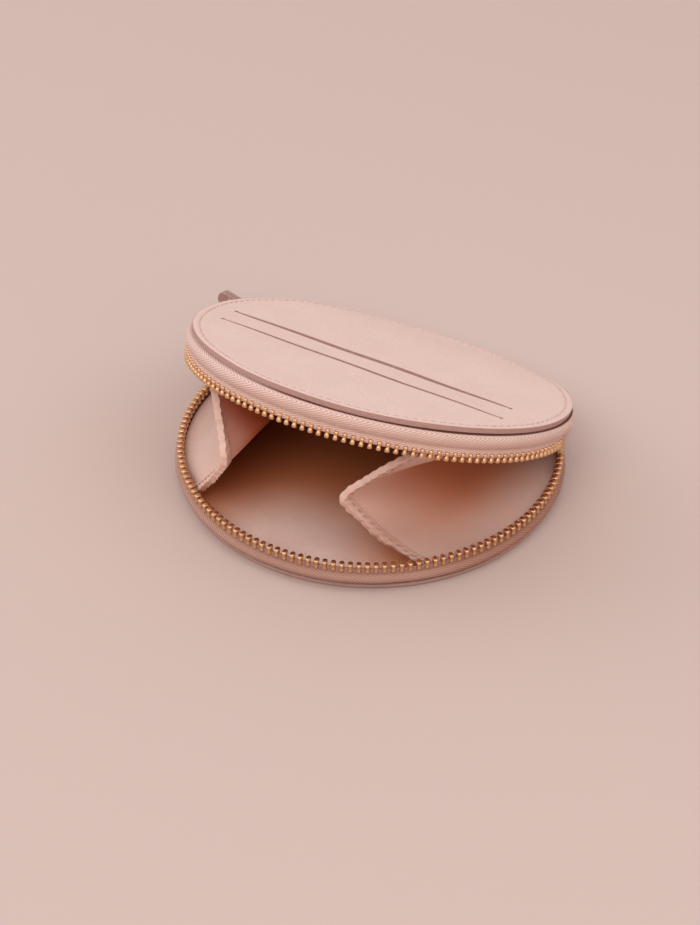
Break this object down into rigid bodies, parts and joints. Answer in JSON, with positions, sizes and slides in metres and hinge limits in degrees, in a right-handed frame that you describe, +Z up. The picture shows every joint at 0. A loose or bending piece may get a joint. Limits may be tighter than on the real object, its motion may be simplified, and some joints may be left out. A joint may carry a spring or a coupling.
{
  "type": "coin purse",
  "caption": "Round zip-around coin purse in soft leather, half open, with folding side gussets, metal zip teeth and slit card slots in its lid.",
  "frame": {"origin": "middle of the underside of the base, on the surface that the purse rests on", "axes": "+Z up out of the base, +Y towards the hinge, -Y out of the mouth, +X to the right seen from the mouth"},
  "size_m": [0.1311, 0.1147, 0.0552],
  "materials": {
    "leather": "fine-grained matt blush leather",
    "lining": "smooth matt lining leather",
    "board": "pressed leather board",
    "zip_tape": "herringbone woven tape",
    "zip_metal": "polished pale gold plating",
    "thread": "tone-in-tone polyester thread",
    "pocket": "thin woven pocket cloth"
  },
  "bodies": {
    "base": {"base_panel": "leather", "base_board": "board", "base_lining": "lining", "base_thread": "thread", "lower_zip_tape": "zip_tape", "lower_teeth": "zip_metal", "lower_stops": "zip_metal", "hinge_strip": "leather", "left_gusset": "lining", "right_gusset": "lining"},
    "lid": {"lid_panel": "leather", "rear_card_pocket": "pocket", "front_card_pocket": "pocket", "lid_lining": "lining", "lid_thread": "thread", "upper_zip_tape": "zip_tape", "upper_teeth": "zip_metal", "upper_stops": "zip_metal"},
    "slider": {"slider_body": "zip_metal", "slider_crown": "zip_metal"},
    "pull": {"pull_link": "zip_metal", "pull_tab": "leather"}
  },
  "joints": [
    {"name": "lid_hinge", "type": "hinge", "parent": "base", "child": "lid", "pos_m": [0, 0.03355, 0.01], "axis": [-1, 0, 0], "range_deg": [-24, 10], "deforming": ["hinge_strip", "left_gusset", "right_gusset"]},
    {"name": "slider_travel", "type": "hinge", "parent": "base", "child": "slider", "pos_m": [0, 0, 0.01], "axis": [0, 0, 1], "range_deg": [0, 240.65]},
    {"name": "pull_swing", "type": "hinge", "parent": "slider", "child": "pull", "pos_m": [-0.04989, 0.02918, 0.01], "axis": [0, 0, 1], "range_deg": [-95, 65]}
  ]
}
